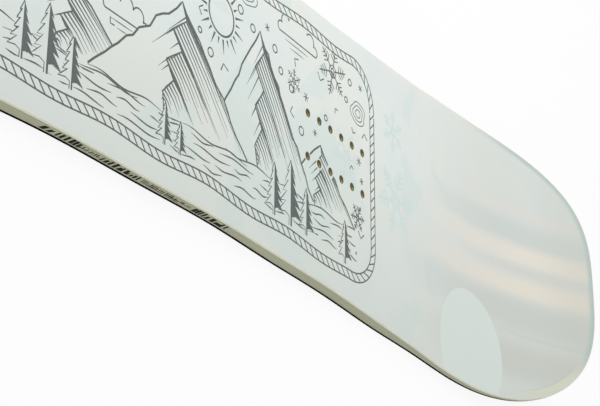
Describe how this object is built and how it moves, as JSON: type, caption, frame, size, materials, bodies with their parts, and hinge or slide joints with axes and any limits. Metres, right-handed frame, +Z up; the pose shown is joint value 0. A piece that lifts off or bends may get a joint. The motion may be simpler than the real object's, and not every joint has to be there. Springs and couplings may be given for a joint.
{
  "type": "snowboard",
  "caption": "Twin-tip snowboard deck in sandwich construction, with kicked tips, steel edges, a wood core and threaded inserts for two bindings.",
  "frame": {"origin": "on the ground, below the middle of the board, which rests on its base", "axes": "+X along the board to the front tip, +Y across to the left side, +Z up out of the topsheet"},
  "size_m": [1.52, 0.2946, 0.0718],
  "materials": {
    "topsheet": "satin printed film",
    "laminate": "cured glass fibre and resin",
    "core_dark": "sanded beech",
    "core_light": "sanded poplar",
    "sidewall": "planed, olive beige",
    "spacer": "plain",
    "edge": "ground, darkened",
    "foil": "matt",
    "base": "stone ground, waxed",
    "insert": "turned"
  },
  "bodies": {
    "root": {"topsheet": "topsheet", "top_laminate": "laminate", "bottom_laminate": "laminate", "core_strip_left_1": "core_dark", "core_strip_left_2": "core_light", "core_strip_left_3": "core_dark", "core_strip_left_4": "core_light", "core_strip_right_1": "core_dark", "core_strip_right_2": "core_light", "core_strip_right_3": "core_dark", "core_strip_right_4": "core_light", "sidewall_left": "sidewall", "sidewall_right": "sidewall", "tip_spacer": "spacer", "tail_spacer": "spacer", "steel_edge_left": "edge", "steel_edge_right": "edge", "damping_foil_left": "foil", "damping_foil_right": "foil", "base_sheet": "base", "insert_front_left_1": "insert", "insert_front_left_2": "insert", "insert_front_left_3": "insert", "insert_front_left_4": "insert", "insert_front_left_5": "insert", "insert_front_left_6": "insert", "insert_front_right_1": "insert", "insert_front_right_2": "insert", "insert_front_right_3": "insert", "insert_front_right_4": "insert", "insert_front_right_5": "insert", "insert_front_right_6": "insert", "insert_rear_left_1": "insert", "insert_rear_left_2": "insert", "insert_rear_left_3": "insert", "insert_rear_left_4": "insert", "insert_rear_left_5": "insert", "insert_rear_left_6": "insert", "insert_rear_right_1": "insert", "insert_rear_right_2": "insert", "insert_rear_right_3": "insert", "insert_rear_right_4": "insert", "insert_rear_right_5": "insert", "insert_rear_right_6": "insert"}
  },
  "joints": []
}
